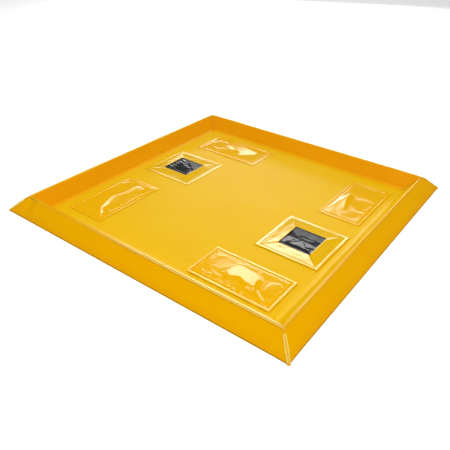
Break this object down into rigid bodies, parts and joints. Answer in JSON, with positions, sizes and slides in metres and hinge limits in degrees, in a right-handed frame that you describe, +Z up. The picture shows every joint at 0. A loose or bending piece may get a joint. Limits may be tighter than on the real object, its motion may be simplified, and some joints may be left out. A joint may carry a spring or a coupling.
{
  "type": "spill containment tray",
  "caption": "Low square flexible spill tray with foam-cored sloping walls that press flat underfoot, welded floor pockets and framed black pads.",
  "frame": {"origin": "middle of the underside of the floor sheet", "axes": "+Z up; X and Y along the tray's sides, with the front wall at -Y and the right wall at +X"},
  "size_m": [1, 1, 0.05],
  "materials": {
    "coated_fabric": "gloss",
    "welded_fabric": "gloss",
    "wall_foam": "matte",
    "pad_core": "matte",
    "black_film": "gloss"
  },
  "bodies": {
    "tray": {"corner_weld_back_left": "welded_fabric", "corner_weld_back_right": "welded_fabric", "corner_weld_front_left": "welded_fabric", "corner_weld_front_right": "welded_fabric", "floor_sheet": "coated_fabric", "foam_core_back": "wall_foam", "foam_core_front": "wall_foam", "foam_core_left": "wall_foam", "foam_core_right": "wall_foam", "foot_weld_back": "welded_fabric", "foot_weld_front": "welded_fabric", "foot_weld_left": "welded_fabric", "foot_weld_right": "welded_fabric", "inner_cover_back": "coated_fabric", "inner_cover_front": "coated_fabric", "inner_cover_left": "coated_fabric", "inner_cover_right": "coated_fabric", "outer_cover_back": "coated_fabric", "outer_cover_front": "coated_fabric", "outer_cover_left": "coated_fabric", "outer_cover_right": "coated_fabric", "pocket_cover_back": "coated_fabric", "pocket_cover_front": "coated_fabric", "pocket_cover_left": "coated_fabric", "pocket_cover_right": "coated_fabric", "pocket_pad_back": "pad_core", "pocket_pad_front": "pad_core", "pocket_pad_left": "pad_core", "pocket_pad_right": "pad_core", "window_frame_left": "coated_fabric", "window_frame_right": "coated_fabric", "window_pad_core_left": "pad_core", "window_pad_core_right": "pad_core", "window_pad_film_left": "black_film", "window_pad_film_right": "black_film"},
    "crest_front": {"crest_seam_front": "welded_fabric"},
    "crest_right": {"crest_seam_right": "welded_fabric"},
    "crest_back": {"crest_seam_back": "welded_fabric"},
    "crest_left": {"crest_seam_left": "welded_fabric"}
  },
  "joints": [
    {"name": "front_wall_crush", "type": "slide", "parent": "tray", "child": "crest_front", "axis": [0, 0, -1], "range_m": [0, 0.035], "stiffness_N_per_m": 8000, "deforming": ["foam_core_front"]},
    {"name": "right_wall_crush", "type": "slide", "parent": "tray", "child": "crest_right", "axis": [0, 0, -1], "range_m": [0, 0.035], "stiffness_N_per_m": 8000, "deforming": ["foam_core_right"]},
    {"name": "back_wall_crush", "type": "slide", "parent": "tray", "child": "crest_back", "axis": [0, 0, -1], "range_m": [0, 0.035], "stiffness_N_per_m": 8000, "deforming": ["foam_core_back"]},
    {"name": "left_wall_crush", "type": "slide", "parent": "tray", "child": "crest_left", "axis": [0, 0, -1], "range_m": [0, 0.035], "stiffness_N_per_m": 8000, "deforming": ["foam_core_left"]}
  ]
}
